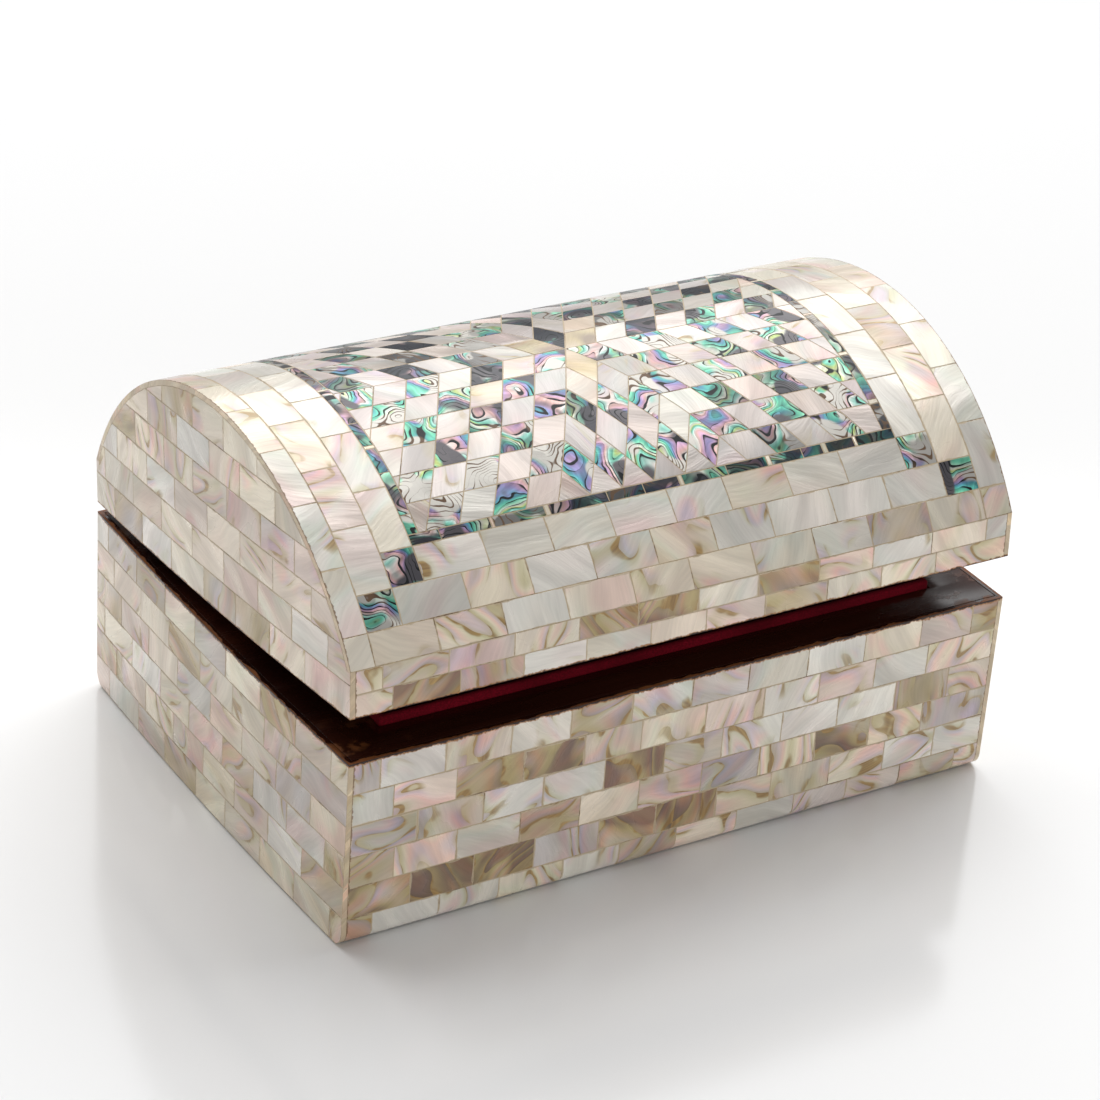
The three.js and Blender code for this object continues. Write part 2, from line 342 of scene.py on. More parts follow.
def set_tiles(slab, draw, tile_at):
    """Gives each tile its shell, opens the joints round it and sets it a little unevenly."""
    mosaic = bpy.context.scene.chest_mosaic
    mesh = bmesh.from_edit_mesh(slab.data)
    layers = {key: mesh.faces.layers.float.new("tile_" + key) for key in ("seed", "turn", "tone", "figure")}
    middle = mesh.faces.layers.float_vector.new("tile_middle")
    reach = mesh.faces.layers.float_vector.new("tile_reach")
    for face in mesh.faces:
        if face.normal.z < 0.5:
            continue
        u, v, _ = face.calc_center_median_weighted()
        tile = tile_at(u, v)
        seed = draw.random()
        beside = {other for edge in face.edges for other in edge.link_faces if abs(other.normal.z) < 0.5}
        cut_edge = Tile(PEARL, draw.uniform(COOL, IVORY), CUT_EDGE, 0.0)
        corners = [vertex.co / (10 * MM) for vertex in face.verts]
        low = Vector(map(min, *corners))
        high = Vector(map(max, *corners))
        face[middle] = (low + high) / 2
        face[reach] = (high - low) / 2 if tile.plain else Vector((9, 9, 0))
        for owner, look in ((face, tile), *((other, cut_edge) for other in beside)):
            owner.material_index = look.kind
            values = {"seed": seed, "turn": look.turn, "tone": look.tone, "figure": look.figure}
            for key, value in values.items():
                owner[layers[key]] = value
    bmesh.update_edit_mesh(slab.data)
    pick_faces(slab, wider_than(0.5 * MM))
    bpy.ops.mesh.inset(thickness=mosaic.joint_width / 2, use_individual=True)
    mesh = bmesh.from_edit_mesh(slab.data)
    for face in mesh.faces:
        if face.normal.z > 0.5 and not face.select:
            face.material_index = JOINT
    bmesh.update_edit_mesh(slab.data)
    bpy.ops.mesh.inset(thickness=mosaic.chamfer, depth=mosaic.proud, use_individual=True)
    mesh = bmesh.from_edit_mesh(slab.data)
    for face in [face for face in mesh.faces if face.select]:
        level = draw.uniform(-0.3, 0.3) * mosaic.proud
        centre = face.calc_center_median()
        reach = max((vertex.co - centre).length for vertex in face.verts)
        lean = Vector((draw.uniform(-1, 1), draw.uniform(-1, 1), 0)) * mosaic.tilt / reach
        for vertex in face.verts:
            vertex.co.z += level + lean.dot(vertex.co - centre)
    bmesh.update_edit_mesh(slab.data)


def wider_than(width):
    """Picks outer faces that are wider than that."""

    def wanted(face):
        return face.normal.z > 0.5 and 2 * face.calc_area() > face.calc_perimeter() * width

    return wanted


def lay(slab, place, rim=None, across=(), along=(), dirty_ends=True):
    """Keeps the flat pattern as a UV map in centimetres, then lays the sheet on its surface."""
    for u in across:
        cut(slab, (u, 0), (1, 0), everything)
    for v in along:
        cut(slab, (0, v), (0, 1), everything)
    deselect_all()
    mesh = slab.data
    while mesh.uv_layers:
        mesh.uv_layers.remove(mesh.uv_layers[0])
    flat = mesh.uv_layers.new(name="sheet")
    for loop in mesh.loops:
        u, v, w = mesh.vertices[loop.vertex_index].co / (10 * MM)
        flat.data[loop.index].uv = (u, v + w)
    from_rim = mesh.attributes.new("rim_distance", "FLOAT", "POINT")
    from_end = mesh.attributes.new("end_distance", "FLOAT", "POINT")
    reach = max(vertex.co.x for vertex in mesh.vertices)
    for vertex in mesh.vertices:
        at = vertex.co
        from_end.data[vertex.index].value = (reach - abs(at.x)) / (10 * MM) if dirty_ends else 9.0
        from_rim.data[vertex.index].value = 9.0 if rim is None else abs(at.y - rim) / (10 * MM)
        vertex.co = place(*at)
    mesh.update()
    only(slab)
    bpy.ops.object.shade_smooth_by_angle(angle=math.radians(20))


def raise_with_lid(piece):
    """Turns a piece of the lid, drawn with both rims parallel, to where the lid stands ajar."""
    edit(piece)
    bpy.ops.mesh.select_all(action="SELECT")
    bpy.ops.transform.rotate(value=AJAR, orient_axis="X", center_override=HINGE)
    deselect_all()


def end_bow(y):
    return END_BOW * (1 - (y / HALF_DEPTH) ** 2)


def on_base_long_side(side):
    """The long side of the base, v running down from the rim as a negative number."""
    straight = RIM - FOOT_ROUND

    def place(u, v, w):
        out, z = HALF_DEPTH + w, RIM + v
        if -v > straight:
            turn = (-v - straight) / FOOT_ROUND
            out = HALF_DEPTH - FOOT_ROUND + (FOOT_ROUND + w) * math.cos(turn)
            z = FOOT_ROUND - (FOOT_ROUND + w) * math.sin(turn)
        return Vector((-side * u, side * out, z))

    return place


def on_end(side):
    """A bowed end of the base or lid, v being the height."""

    def place(u, v, w):
        y = side * u
        return Vector((side * (HALF_LENGTH + end_bow(y) + w), y, v))

    return place


def on_lid_long_side(side):
    def place(u, v, w):
        return Vector((-side * u, side * (HALF_DEPTH + w), v))

    return place


def on_dome(u, v, w):
    """The dome, v being the distance round it from the crown, towards the back."""
    turn = v / DOME_RADIUS
    out = DOME_RADIUS + w
    y = out * math.sin(turn)
    bow_from = HALF_LENGTH - 30 * MM
    share = max(0.0, abs(u) - bow_from) / (HALF_LENGTH - bow_from)
    x = u + math.copysign(share, u) * end_bow(y)
    return Vector((x, y, DOME_CENTRE + out * math.cos(turn)))


def steps(low, high, count):
    return [low + (high - low) * i / count for i in range(1, count)]


def rounded_copy(node, name, width, segments):
    """A copy of a solid's mesh, merged and cleaned, with its edges rounded over."""
    deselect_all()
    copy = bpy.data.objects.new(name, frame["nodes"][node].data.copy())
    copy.data.name = name
    copy.data.materials.clear()
    bpy.context.scene.collection.objects.link(copy)
    edit(copy)
    bpy.ops.mesh.select_all(action="SELECT")
    bpy.ops.mesh.remove_doubles(threshold=0.005 * MM)
    bpy.ops.mesh.dissolve_limited(angle_limit=math.radians(0.05))
    only(copy)
    bevel = copy.modifiers.new("edges", "BEVEL")
    bevel.width = width
    bevel.segments = segments
    bevel.limit_method = "ANGLE"
    bevel.angle_limit = math.radians(40)
    bpy.ops.object.modifier_apply(modifier=bevel.name)
    bpy.ops.object.shade_smooth_by_angle(angle=math.radians(35))
    return copy


# Material helpers

def new_material(name):
    material = bpy.data.materials.new(name)
    material.use_nodes = True
    tree = material.node_tree
    shader = next(node for node in tree.nodes if node.type == "BSDF_PRINCIPLED")
    return material, tree, shader


def add(tree, kind, inputs=(), **settings):
    """Adds a node. Each input is a value or another node's output."""
    node = tree.nodes.new("ShaderNode" + kind)
    for key, value in settings.items():
        setattr(node, key, value)
    for key, value in dict(inputs).items():
        if isinstance(value, bpy.types.NodeSocket):
            tree.links.new(value, node.inputs[key])
        else:
            node.inputs[key].default_value = value
    return node


def calc(tree, operation, *values, clamp=False):
    return add(tree, "Math", dict(enumerate(values)), operation=operation, use_clamp=clamp).outputs[0]


def ramp(tree, factor, stops, interpolation="LINEAR"):
    """A colour ramp with stops of (place, colour)."""
    node = add(tree, "ValToRGB", {"Fac": factor})
    node.color_ramp.interpolation = interpolation
    elements = node.color_ramp.elements
    while len(elements) > 1:
        elements.remove(elements[-1])
    for i, (place, colour) in enumerate(stops):
        element = elements[0] if i == 0 else elements.new(place)
        element.position = place
        element.color = (*colour, 1)
    return node.outputs["Color"]


def spread(tree, value, low, high, to_low=0.0, to_high=1.0):
    """Maps low..high of a value to to_low..to_high, smoothly and clamped."""
    node = add(
        tree, "MapRange",
        {"Value": value, "From Min": low, "From Max": high, "To Min": to_low, "To Max": to_high},
        interpolation_type="SMOOTHSTEP",
    )
    return node.outputs["Result"]


def mix(tree, factor, first, second, blend="MIX"):
    node = add(tree, "Mix", {"Factor": factor}, data_type="RGBA", blend_type=blend)
    for key, value in ((6, first), (7, second)):
        if isinstance(value, bpy.types.NodeSocket):
            tree.links.new(value, node.inputs[key])
        else:
            node.inputs[key].default_value = (*value, 1)
    return node.outputs[2]


def noise(tree, vector, scale, detail=1.0, stretch=(1, 1, 1)):
    shaped = add(tree, "Mapping", {"Vector": vector, "Scale": stretch}).outputs[0]
    node = add(tree, "TexNoise", {"Vector": shaped, "Scale": scale, "Detail": detail})
    return node


def warped(tree, vector, scale, amount):
    """Bends a pattern by pushing its places about."""
    push = noise(tree, vector, scale, 1.0).outputs["Color"]
    centred = add(tree, "VectorMath", {0: push, 1: (0.5, 0.5, 0.5)}, operation="SUBTRACT").outputs[0]
    scaled = add(tree, "VectorMath", {0: centred, "Scale": amount}, operation="SCALE").outputs[0]
    return add(tree, "VectorMath", {0: vector, 1: scaled}, operation="ADD").outputs[0]


def shell_place(tree):
    """The place on the flat sheet, turned and moved for each tile, so that no two look alike."""
    sheet = add(tree, "UVMap", uv_map="sheet").outputs[0]
    turn = add(tree, "Attribute", attribute_name="tile_turn").outputs["Fac"]
    seed = add(tree, "Attribute", attribute_name="tile_seed").outputs["Fac"]
    turned = add(tree, "VectorRotate", {"Vector": sheet, "Angle": turn}, rotation_type="Z_AXIS").outputs[0]
    moved = add(
        tree, "CombineXYZ",
        {0: calc(tree, "MULTIPLY", seed, 53.0), 1: calc(tree, "MULTIPLY", seed, 31.0),
         2: calc(tree, "MULTIPLY", seed, 97.0)},
    ).outputs[0]
    return add(tree, "VectorMath", {0: turned, 1: moved}, operation="ADD").outputs[0]


def polished(shader, weight, roughness):
    """The clear polished surface of shell."""
    shader.inputs["Coat Weight"].default_value = weight
    shader.inputs["Coat Roughness"].default_value = roughness
    shader.inputs["Coat IOR"].default_value = 1.5


def attribute(tree, name):
    return add(tree, "Attribute", attribute_name=name).outputs["Fac"]


def tile_chance(tree, times):
    """A number between 0 and 1 that differs from tile to tile."""
    return calc(tree, "FRACT", calc(tree, "MULTIPLY", attribute(tree, "tile_seed"), times))


def growth_bands(tree, place, count):
    """Curved growth bands of a shell: each rises from 0 to 1 and then drops sharply."""
    field = noise(tree, place, 1.0, 0.6, (0.3, 0.8, 1)).outputs["Fac"]
    shifted = calc(tree, "ADD", calc(tree, "MULTIPLY", field, count), tile_chance(tree, 9.0))
    return calc(tree, "FRACT", shifted)


def mother_of_pearl():
    material, tree, shader = new_material("mother of pearl")
    place = shell_place(tree)
    bent = warped(tree, place, 0.5, 0.8)
    folds = noise(tree, bent, 1.0, 1.0, (0.3, 1.3, 1)).outputs["Fac"]
    fine = noise(tree, bent, 1.0, 2.5, (0.9, 11, 1)).outputs["Fac"]
    figure = attribute(tree, "tile_figure")
    tone = attribute(tree, "tile_tone")
    broad = noise(tree, bent, 1.0, 0.8, (0.6, 1.1, 1)).outputs["Fac"]
    wander = calc(tree, "MULTIPLY", calc(tree, "SUBTRACT", broad, 0.5), spread(tree, tone, 0.55, 0.9, 0.1, 1.3))
    body = ramp(tree, calc(tree, "ADD", tone, wander), [
        (COOL, (0.80, 0.765, 0.70)),
        (IVORY, (0.82, 0.735, 0.59)),
        (ROSE, (0.80, 0.66, 0.58)),
        (LILAC, (0.62, 0.575, 0.555)),
        (SAND, (0.61, 0.50, 0.36)),
        (GOLD, (0.50, 0.40, 0.22)),
        (BROWN, (0.29, 0.21, 0.14)),
    ])
    cut_edge = calc(tree, "LESS_THAN", figure, CUT_EDGE / 2)
    body = mix(tree, cut_edge, body, (0.76, 0.61, 0.42))
    own = spread(tree, tile_chance(tree, 29.0), 0.0, 1.0, 0.88, 1.12)
    light = calc(tree, "MULTIPLY", spread(tree, folds, 0.32, 0.68, 0.86, 1.1), spread(tree, fine, 0.3, 0.7, 0.95, 1.04))
    shaded = add(
        tree, "VectorMath", {0: body, "Scale": calc(tree, "MULTIPLY", own, light)}, operation="SCALE"
    ).outputs[0]

    hue = noise(tree, bent, 1.0, 0.5, (0.3, 0.7, 1.7)).outputs["Fac"]
    drift = ramp(tree, hue, [
        (0.34, (1.0, 0.84, 0.86)),
        (0.43, (1.0, 0.97, 0.95)),
        (0.50, (1.0, 1.0, 1.0)),
        (0.57, (0.93, 1.0, 0.96)),
        (0.66, (1.0, 0.96, 0.87)),
    ])
    vivid = spread(tree, tile_chance(tree, 17.0), 0.3, 1.0, 0.2, 1.0)
    tinted = mix(tree, vivid, shaded, drift, "MULTIPLY")

    bands = growth_bands(tree, bent, 6.5)
    where = noise(tree, bent, 0.7, 0.5).outputs["Fac"]
    reach = calc(tree, "ADD", where, calc(tree, "MULTIPLY", figure, 0.42))
    drawn = spread(tree, reach, 0.60, 0.76)
    flash = ramp(tree, bands, [
        (0.10, (0.86, 0.98, 0.86)),
        (0.35, (1.0, 0.98, 0.93)),
        (0.62, (1.05, 0.84, 0.87)),
        (0.85, (0.84, 0.78, 0.95)),
        (1.00, (0.70, 0.66, 0.62)),
    ])
    flashed = mix(tree, drawn, tinted, flash, "MULTIPLY")
    shade = spread(tree, bands, 0.0, 0.42, 1.0, 0.0)
    shaded_band = mix(tree, calc(tree, "MULTIPLY", shade, calc(tree, "MULTIPLY", drawn, 0.55)), flashed, (0.56, 0.40, 0.19))
    thickness = spread(tree, noise(tree, place, 1.6, 1.0).outputs["Fac"], 0.35, 0.68, -0.02, 0.2)
    line = spread(tree, calc(tree, "SUBTRACT", bands, thickness), -0.05, 0.06, 1.0, 0.0)
    ochre = ramp(tree, fine, [(0.3, (0.23, 0.115, 0.035)), (0.7, (0.48, 0.30, 0.10))])
    streaked = mix(tree, calc(tree, "MULTIPLY", line, calc(tree, "MULTIPLY", drawn, 0.85)), shaded_band, ochre)
    finished = lapped(tree, soiled(tree, pitted(tree, stained(tree, streaked))))
    tree.links.new(finished, shader.inputs["Base Color"])

    height = calc(tree, "ADD", calc(tree, "MULTIPLY", folds, 0.9), calc(tree, "MULTIPLY", fine, 0.14))
    relief = add(tree, "Bump", {"Height": height, "Strength": 0.5, "Distance": 1.6 * MM})
    tree.links.new(relief.outputs[0], shader.inputs["Normal"])
    tree.links.new(spread(tree, folds, 0.35, 0.65, 0.36, 0.25), shader.inputs["Roughness"])
    shader.inputs["Metallic"].default_value = 0.15
    polished(shader, 0.35, 0.08)
    return material


def tile_rim(tree):
    """1 at the rim of a tile, falling to 0 a millimetre further in."""
    sheet = add(tree, "UVMap", uv_map="sheet").outputs[0]
    middle = add(tree, "Attribute", attribute_name="tile_middle").outputs["Vector"]
    reach = add(tree, "Attribute", attribute_name="tile_reach").outputs["Vector"]
    away = add(tree, "VectorMath", {0: sheet, 1: middle}, operation="SUBTRACT").outputs[0]
    size = add(tree, "VectorMath", {0: away}, operation="ABSOLUTE").outputs[0]
    left = add(tree, "VectorMath", {0: reach, 1: size}, operation="SUBTRACT").outputs[0]
    parts = add(tree, "SeparateXYZ", {0: left}).outputs
    return spread(tree, calc(tree, "MINIMUM", parts["X"], parts["Y"]), 0.0, 0.1, 1.0, 0.0)


def stained(tree, colour):
    """Cream resin creeping in from the rim of a tile, more on some tiles than on others."""
    sheet = add(tree, "UVMap", uv_map="sheet").outputs[0]
    rim = tile_rim(tree)
    ragged = noise(tree, sheet, 2.2, 3.0).outputs["Fac"]
    depth = calc(tree, "ADD", rim, calc(tree, "MULTIPLY", calc(tree, "SUBTRACT", ragged, 0.5), 2.6))
    start = spread(tree, tile_chance(tree, 41.0), 0.2, 1.0, 1.1, 0.6)
    amount = spread(tree, calc(tree, "SUBTRACT", depth, start), 0.0, 0.12)
    creamy = mix(tree, calc(tree, "MULTIPLY", amount, 0.7), colour, (0.62, 0.52, 0.37))
    thin = spread(tree, calc(tree, "MULTIPLY", rim, ragged), 0.42, 0.62)
    return mix(tree, calc(tree, "MULTIPLY", thin, 0.28), creamy, (0.34, 0.22, 0.11))


def pitted(tree, colour):
    """Small dark pits at the rims of tiles, where shell or resin has crumbled."""
    sheet = add(tree, "UVMap", uv_map="sheet").outputs[0]
    cells = add(tree, "TexVoronoi", {"Vector": sheet, "Scale": 1.1})
    rare = spread(tree, calc(tree, "FRACT", calc(tree, "MULTIPLY", cells.outputs["Color"], 7.3)), 0.78, 0.8)
    ragged = noise(tree, sheet, 14.0, 2.0).outputs["Fac"]
    size = calc(tree, "MULTIPLY", ragged, 0.08)
    inside = spread(tree, calc(tree, "SUBTRACT", cells.outputs["Distance"], size), -0.01, 0.012, 1.0, 0.0)
    near_rim = spread(tree, tile_rim(tree), 0.1, 0.4)
    return mix(tree, calc(tree, "MULTIPLY", calc(tree, "MULTIPLY", inside, rare), near_rim), colour, (0.05, 0.022, 0.012))


def soiled(tree, colour):
    """A thin brown line of old dirt along the two ends of a sheet, where it meets its neighbours."""
    sheet = add(tree, "UVMap", uv_map="sheet").outputs[0]
    ragged = noise(tree, sheet, 7.0, 4.0).outputs["Fac"]
    width = spread(tree, ragged, 0.38, 0.7, 0.008, 0.05)
    past = calc(tree, "SUBTRACT", attribute(tree, "end_distance"), width)
    on_face = calc(tree, "GREATER_THAN", attribute(tree, "tile_figure"), CUT_EDGE / 2)
    amount = calc(tree, "MULTIPLY", spread(tree, past, -0.005, 0.012, 0.75, 0.0), on_face)
    return mix(tree, amount, colour, (0.20, 0.105, 0.045))


def lapped(tree, colour):
    """The lacquer of the rim, laid over the nearest shell with a ragged edge."""
    sheet = add(tree, "UVMap", uv_map="sheet").outputs[0]
    distance = attribute(tree, "rim_distance")
    coarse = noise(tree, sheet, 2.5, 3.0).outputs["Fac"]
    ragged = noise(tree, sheet, 12.0, 3.0).outputs["Fac"]
    both = calc(tree, "ADD", calc(tree, "MULTIPLY", coarse, 0.17), calc(tree, "MULTIPLY", ragged, 0.12))
    from_edge = calc(tree, "SUBTRACT", distance, calc(tree, "SUBTRACT", both, 0.09))
    fringe = mix(tree, spread(tree, from_edge, 0.012, 0.055, 1.0, 0.0), colour, (0.38, 0.17, 0.055))
    return mix(tree, spread(tree, from_edge, -0.005, 0.006, 1.0, 0.0), fringe, (0.03, 0.009, 0.005))


def abalone_shell():
    material, tree, shader = new_material("abalone")
    place = shell_place(tree)
    bent = warped(tree, warped(tree, place, 0.8, 1.0), 2.2, 0.16)
    field = noise(tree, bent, 0.85, 0.3).outputs["Fac"]
    silk = noise(tree, bent, 1.0, 2.5, (1.5, 9, 1)).outputs["Fac"]
    bands = calc(tree, "FRACT", calc(tree, "ADD", calc(tree, "MULTIPLY", field, 16.0), tile_chance(tree, 9.0)))
    slow = noise(tree, bent, 0.7, 1.0).outputs["Color"]
    drift = calc(tree, "ADD", calc(tree, "MULTIPLY", field, 2.4), calc(tree, "MULTIPLY", slow, 1.1))
    cycle = calc(tree, "FRACT", calc(tree, "ADD", drift, tile_chance(tree, 5.0)))
    colour = ramp(tree, cycle, [
        (0.00, (0.12, 0.54, 0.44)),
        (0.10, (0.20, 0.70, 0.46)),
        (0.20, (0.50, 0.78, 0.60)),
        (0.28, (0.82, 0.80, 0.70)),
        (0.36, (0.52, 0.62, 0.20)),
        (0.44, (0.16, 0.60, 0.42)),
        (0.52, (0.34, 0.70, 0.60)),
        (0.60, (0.80, 0.74, 0.70)),
        (0.68, (0.78, 0.48, 0.44)),
        (0.76, (0.66, 0.40, 0.56)),
        (0.84, (0.34, 0.30, 0.58)),
        (0.92, (0.12, 0.38, 0.52)),
        (1.00, (0.12, 0.54, 0.44)),
    ])
    # Painted light: each growth band is painted dark at its start and lighter at its end, as painted shading of its
    # ridge, and silky streaks are painted brighter as a painted highlight
    band_painted_shading = spread(tree, bands, 0.0, 1.0, 0.72, 1.18)
    painted_shading_and_highlight = calc(tree, "MULTIPLY", band_painted_shading, spread(tree, silk, 0.3, 0.7, 0.78, 1.15))
    painted_lit_colour = add(tree, "VectorMath", {0: colour, "Scale": painted_shading_and_highlight}, operation="SCALE").outputs[0]
    patches = noise(tree, place, 0.8, 1.0).outputs["Fac"]
    own = calc(tree, "MULTIPLY", calc(tree, "SUBTRACT", tile_chance(tree, 61.0), 0.5), 0.16)
    pale_place = calc(tree, "ADD", patches, own)
    pale = mix(tree, spread(tree, pale_place, 0.55, 0.6), painted_lit_colour, (0.72, 0.69, 0.63))
    grey = mix(tree, spread(tree, pale_place, 0.38, 0.33), pale, (0.13, 0.12, 0.13))
    flecks = spread(tree, noise(tree, bent, 1.1, 1.0).outputs["Fac"], 0.54, 0.6, 0.0, 0.45)
    # A low tile tone darkens the abalone towards near-black; on the abalone behind the star's middle this darkening is
    # painted shade
    brightness = calc(tree, "ADD", attribute(tree, "tile_tone"), flecks, clamp=True)
    toned = mix(tree, brightness, (0.012, 0.016, 0.026), grey)
    width = spread(tree, noise(tree, place, 1.5, 1.0).outputs["Fac"], 0.34, 0.66, 0.0, 0.36)
    line = spread(tree, calc(tree, "SUBTRACT", bands, width), -0.06, 0.08, 1.0, 0.0)
    brown = mix(tree, spread(tree, pale_place, 0.55, 0.6), (0.008, 0.010, 0.012), (0.14, 0.085, 0.05))
    lined = mix(tree, line, toned, brown)
    tree.links.new(lined, shader.inputs["Base Color"])
    tree.links.new(spread(tree, line, 0.2, 0.8, 0.3, 0.5), shader.inputs["Roughness"])
    height = calc(tree, "ADD", calc(tree, "MULTIPLY", silk, 0.5), calc(tree, "MULTIPLY", bands, 0.35))
    relief = add(tree, "Bump", {"Height": height, "Strength": 0.22, "Distance": 0.6 * MM})
    tree.links.new(relief.outputs[0], shader.inputs["Normal"])
    shader.inputs["Metallic"].default_value = 0.15
    shader.inputs["Specular IOR Level"].default_value = 0.3
    polished(shader, 0.1, 0.06)
    return material


def joint_resin():
    finish = bpy.context.scene.chest_finish
    material, tree, shader = new_material("joint resin")
    sheet = add(tree, "UVMap", uv_map="sheet").outputs[0]
    patch = noise(tree, sheet, 0.7, 2.0).outputs["Fac"]
    grain = noise(tree, sheet, 9.0, 2.0).outputs["Fac"]
    both = calc(tree, "ADD", calc(tree, "MULTIPLY", patch, 0.7), calc(tree, "MULTIPLY", grain, 0.3))
    colour = mix(tree, spread(tree, both, 0.5, 0.68), tuple(finish.joint), (0.17, 0.10, 0.05))
    tree.links.new(lapped(tree, soiled(tree, colour)), shader.inputs["Base Color"])
    shader.inputs["Roughness"].default_value = 0.45
    return material


def lacquered_wood(name="lacquered wood"):
    """Dark gloss lacquer, worn to bare wood along the outer edges of the rims."""
    finish = bpy.context.scene.chest_finish
    material, tree, shader = new_material(name)
    here = add(tree, "TexCoord").outputs["Object"]
    parts = add(tree, "SeparateXYZ", {0: here}).outputs
    depth = calc(tree, "ABSOLUTE", parts["Y"])
    bow = calc(tree, "MULTIPLY", calc(tree, "POWER", calc(tree, "DIVIDE", depth, HALF_DEPTH), 2.0), END_BOW)
    length = calc(tree, "ADD", calc(tree, "ABSOLUTE", parts["X"]), bow)
    to_side = calc(tree, "SUBTRACT", HALF_DEPTH, depth)
    to_end = calc(tree, "SUBTRACT", HALF_LENGTH + END_BOW, length)
    to_edge = calc(tree, "MINIMUM", to_side, to_end)
    ragged = noise(tree, here, 260.0, 3.0).outputs["Fac"]
    broad = noise(tree, here, 38.0, 2.0).outputs["Fac"]
    uneven = calc(tree, "MULTIPLY", calc(tree, "SUBTRACT", calc(tree, "ADD", ragged, broad), 1.0), 2.6 * MM)
    worn = spread(tree, calc(tree, "ADD", to_edge, uneven), 0.5 * MM, 1.0 * MM, 1.0, 0.0)
    corner = calc(tree, "MAXIMUM", to_side, to_end)
    rubbed = calc(
        tree, "MULTIPLY",
        spread(tree, corner, 4 * MM, 26 * MM, 1.0, 0.0),
        spread(tree, noise(tree, here, 120.0, 3.0).outputs["Fac"], 0.52, 0.62),
    )
    bare = calc(tree, "MAXIMUM", worn, calc(tree, "MULTIPLY", rubbed, 0.7), clamp=True)
    grain = noise(tree, here, 55.0, 3.0, (0.12, 1, 1)).outputs["Fac"]
    lacquer = mix(tree, spread(tree, grain, 0.35, 0.75), tuple(finish.lacquer), (0.055, 0.014, 0.007))
    wood = mix(tree, ragged, tuple(finish.worn_wood), (0.12, 0.04, 0.014))
    tree.links.new(mix(tree, bare, lacquer, wood), shader.inputs["Base Color"])
    scratch = noise(tree, here, 30.0, 3.0, (1, 7, 1)).outputs["Fac"]
    gloss = calc(tree, "ADD", spread(tree, scratch, 0.45, 0.75, 0.2, 0.34), calc(tree, "MULTIPLY", bare, 0.35))
    tree.links.new(gloss, shader.inputs["Roughness"])
    height = calc(tree, "SUBTRACT", calc(tree, "MULTIPLY", scratch, 0.3), bare)
    relief = add(tree, "Bump", {"Height": height, "Strength": 0.4, "Distance": 0.2 * MM})
    tree.links.new(relief.outputs[0], shader.inputs["Normal"])
    shader.inputs["Specular IOR Level"].default_value = 0.3
    return material


def red_velvet():
    finish = bpy.context.scene.chest_finish
    material, tree, shader = new_material("red velvet")
    here = add(tree, "TexCoord").outputs["Object"]
    nap = noise(tree, here, 22.0, 3.0).outputs["Fac"]
    pile = noise(tree, here, 2600.0, 1.0).outputs["Fac"]
    brushed = mix(tree, spread(tree, nap, 0.35, 0.68), tuple(finish.velvet), (0.22, 0.003, 0.014))
    tufted = mix(tree, spread(tree, pile, 0.35, 0.6, 0.0, 0.55), brushed, (0.05, 0.0, 0.002))
    tree.links.new(tufted, shader.inputs["Base Color"])
    shader.inputs["Roughness"].default_value = 0.95
    shader.inputs["Specular IOR Level"].default_value = 0.15
    shader.inputs["Sheen Weight"].default_value = 0.2
    shader.inputs["Sheen Roughness"].default_value = 0.35
    shader.inputs["Sheen Tint"].default_value = (0.9, 0.12, 0.16, 1)
    relief = add(tree, "Bump", {"Height": pile, "Strength": 0.5, "Distance": 0.25 * MM})
    tree.links.new(relief.outputs[0], shader.inputs["Normal"])
    return material


def aged_brass():
    finish = bpy.context.scene.chest_finish
    material, tree, shader = new_material("aged brass")
    here = add(tree, "TexCoord").outputs["Object"]
    tarnish = noise(tree, here, 240.0, 4.0).outputs["Fac"]
    colour = mix(tree, spread(tree, tarnish, 0.42, 0.68), tuple(finish.brass), (0.20, 0.12, 0.05))
    tree.links.new(colour, shader.inputs["Base Color"])
    brushing = noise(tree, here, 900.0, 2.0, (0.06, 1, 1)).outputs["Fac"]
    tree.links.new(spread(tree, brushing, 0.3, 0.7, 0.24, 0.46), shader.inputs["Roughness"])
    relief = add(tree, "Bump", {"Height": brushing, "Strength": 0.15, "Distance": 0.05 * MM})
    tree.links.new(relief.outputs[0], shader.inputs["Normal"])
    shader.inputs["Metallic"].default_value = 1.0
    return material


def floor_finish():
    material, tree, shader = new_material("floor")
    shader.inputs["Base Color"].default_value = (*bpy.context.scene.chest_stage.floor, 1)
    shader.inputs["Roughness"].default_value = 0.14
    return material


FINISHES = {
    "pearl": mother_of_pearl,
    "joint": joint_resin,
    "abalone": abalone_shell,
    "lacquer": lacquered_wood,
    "velvet": red_velvet,
    "brass": aged_brass,
    "floor": floor_finish,
}
made_finishes = {}


def finish_of(key):
    """The finish of that name, made when it is first asked for."""
    if key not in made_finishes:
        made_finishes[key] = FINISHES[key]()
    return made_finishes[key]


def hand_over(piece, body, nodes, finishes):
    """Gives a finished piece its materials and its body, and hides the solids it stands for."""
    deselect_all()
    for key in finishes:
        piece.data.materials.append(finish_of(key))
    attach(piece, body)
    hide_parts(*nodes)


MOSAIC_FINISHES = ("pearl", "joint", "abalone", "lacquer")

# How often each tone comes up, as (tone, figure, weight)
BASE_TONES = ((COOL, 0.3, 30), (IVORY, 0.6, 26), (ROSE, 0.7, 18), (LILAC, 0.6, 8), (SAND, 0.9, 12), (0.96, 0.9, 2))
END_TONES = ((COOL, 0.1, 26), (IVORY, 0.3, 44), (ROSE, 0.25, 9), (LILAC, 0.2, 8), (SAND, 0.5, 13))
LID_TONES = ((COOL, 0.2, 30), (IVORY, 0.5, 40), (ROSE, 0.5, 14), (LILAC, 0.4, 6), (SAND, 0.8, 10))
DOME_TONES = ((COOL, 0.1, 46), (IVORY, 0.3, 38), (ROSE, 0.2, 8), (SAND, 0.5, 8))
STAR_TONES = ((0.5, 0.0, 40), (LILAC, 0.0, 32), (COOL, 0.0, 12), (0.35, 0.1, 16))


